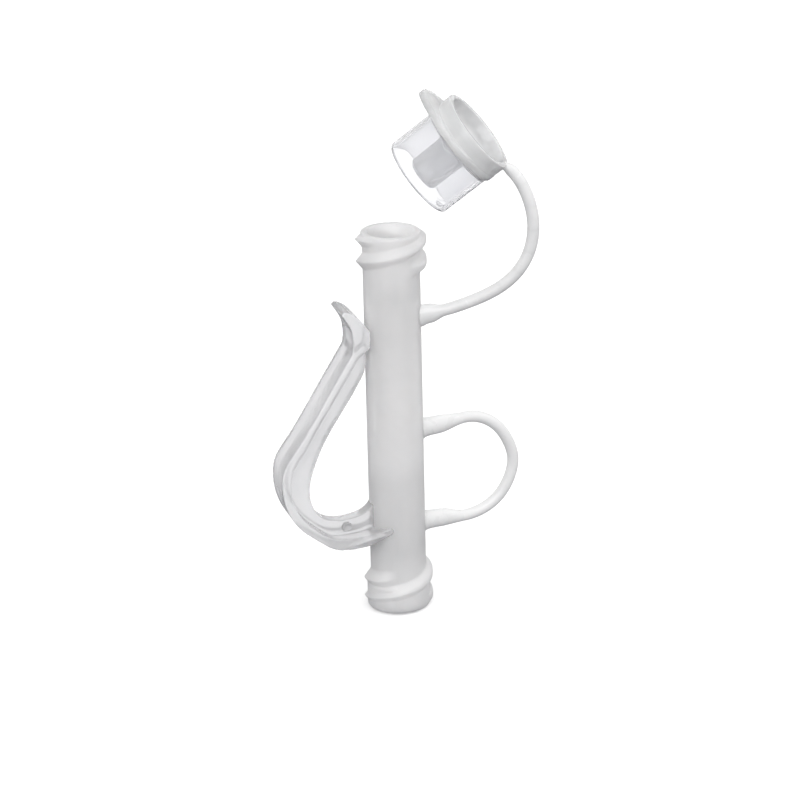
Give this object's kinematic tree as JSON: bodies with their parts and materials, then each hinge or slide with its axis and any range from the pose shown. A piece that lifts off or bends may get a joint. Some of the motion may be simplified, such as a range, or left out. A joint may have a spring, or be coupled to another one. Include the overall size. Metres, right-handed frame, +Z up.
{
  "type": "tube connector",
  "caption": "Straight translucent tube connector threaded at both ends, with a spring clip, a finger loop and a tethered snap cap.",
  "frame": {"origin": "centre of the tube's lower end face, which is the mouth of the lower socket", "axes": "+Z up along the tube towards the capped end, -X towards the spring clip, +X towards the finger loop"},
  "size_m": [0.0286, 0.0122, 0.0602],
  "materials": {
    "milky_tube": "satin",
    "clear_clip": "satin",
    "milky_strap": "satin",
    "clear_cap": "gloss",
    "milky_head": "satin"
  },
  "bodies": {
    "connector": {"barrel": "milky_tube", "foot_ring": "milky_tube", "upper_thread_a": "milky_tube", "upper_thread_b": "milky_tube", "lower_thread_a": "milky_tube", "lower_thread_b": "milky_tube", "clip_bridge": "clear_clip", "clip_bridge_web": "clear_clip", "gate_mark": "clear_clip", "loop": "milky_strap", "loop_upper_root": "milky_strap", "loop_lower_root": "milky_strap", "strap_root": "milky_strap"},
    "clip_arm": {"clip_arm": "clear_clip", "clip_arm_web": "clear_clip", "clip_contact_pad": "clear_clip", "clip_lip": "clear_clip"},
    "strap_link_1": {"strap_link_1": "milky_strap"},
    "strap_link_2": {"strap_link_2": "milky_strap"},
    "strap_link_3": {"strap_link_3": "milky_strap"},
    "strap_link_4": {"strap_link_4": "milky_strap"},
    "strap_link_5": {"strap_link_5": "milky_strap"},
    "strap_link_6": {"strap_link_6": "milky_strap"},
    "strap_link_7": {"strap_link_7": "milky_strap"},
    "strap_link_8": {"strap_link_8": "milky_strap"},
    "cap": {"strap_tip": "milky_strap", "cap_head": "milky_head", "cap_flange": "milky_head", "cap_thumb_tab": "milky_head", "cap_skirt": "clear_cap", "cap_plug": "clear_cap", "cap_lug_1": "clear_cap", "cap_lug_2": "clear_cap", "cap_lug_3": "clear_cap", "cap_lug_4": "clear_cap"}
  },
  "joints": [
    {"name": "strap_bend_1", "type": "hinge", "parent": "connector", "child": "strap_link_1", "pos_m": [0.00572, -0.0024, 0.03538], "axis": [0.3875, 0.9219, 0], "range_deg": [-29.5, 3.5], "stiffness_Nm_per_rad": 0.02},
    {"name": "strap_bend_2", "type": "hinge", "parent": "strap_link_1", "child": "strap_link_2", "pos_m": [0.00795, -0.00334, 0.03626], "axis": [-0.3875, -0.9219, 0], "range_deg": [-6, 2.6], "stiffness_Nm_per_rad": 0.02},
    {"name": "strap_bend_3", "type": "hinge", "parent": "strap_link_2", "child": "strap_link_3", "pos_m": [0.0101, -0.00424, 0.03737], "axis": [-0.3875, -0.9219, 0], "range_deg": [-6, 8.3], "stiffness_Nm_per_rad": 0.02},
    {"name": "strap_bend_4", "type": "hinge", "parent": "strap_link_3", "child": "strap_link_4", "pos_m": [0.01201, -0.00505, 0.0389], "axis": [-0.3875, -0.9219, 0], "range_deg": [-8, 12.8], "stiffness_Nm_per_rad": 0.02},
    {"name": "strap_bend_5", "type": "hinge", "parent": "strap_link_4", "child": "strap_link_5", "pos_m": [0.01346, -0.00566, 0.04094], "axis": [-0.3875, -0.9219, 0], "range_deg": [-8, 14], "stiffness_Nm_per_rad": 0.02},
    {"name": "strap_bend_6", "type": "hinge", "parent": "strap_link_5", "child": "strap_link_6", "pos_m": [0.01422, -0.00598, 0.04339], "axis": [-0.3875, -0.9219, 0], "range_deg": [-8, 12.5], "stiffness_Nm_per_rad": 0.02},
    {"name": "strap_bend_7", "type": "hinge", "parent": "strap_link_6", "child": "strap_link_7", "pos_m": [0.01428, -0.006, 0.04596], "axis": [-0.3875, -0.9219, 0], "range_deg": [-6, 8.01], "stiffness_Nm_per_rad": 0.02},
    {"name": "strap_bend_8", "type": "hinge", "parent": "strap_link_7", "child": "strap_link_8", "pos_m": [0.0137, -0.00576, 0.04847], "axis": [-0.3875, -0.9219, 0], "range_deg": [-6, 1.49], "stiffness_Nm_per_rad": 0.02},
    {"name": "strap_bend_9", "type": "hinge", "parent": "strap_link_8", "child": "cap", "pos_m": [0.01254, -0.00527, 0.05072], "axis": [0.3875, 0.9219, 0], "range_deg": [-33.8, 4.7], "stiffness_Nm_per_rad": 0.02},
    {"name": "clip_flex", "type": "hinge", "parent": "connector", "child": "clip_arm", "pos_m": [-0.0102, 0, 0.01005], "axis": [0, -1, 0], "range_deg": [0, 8], "stiffness_Nm_per_rad": 0.6}
  ]
}
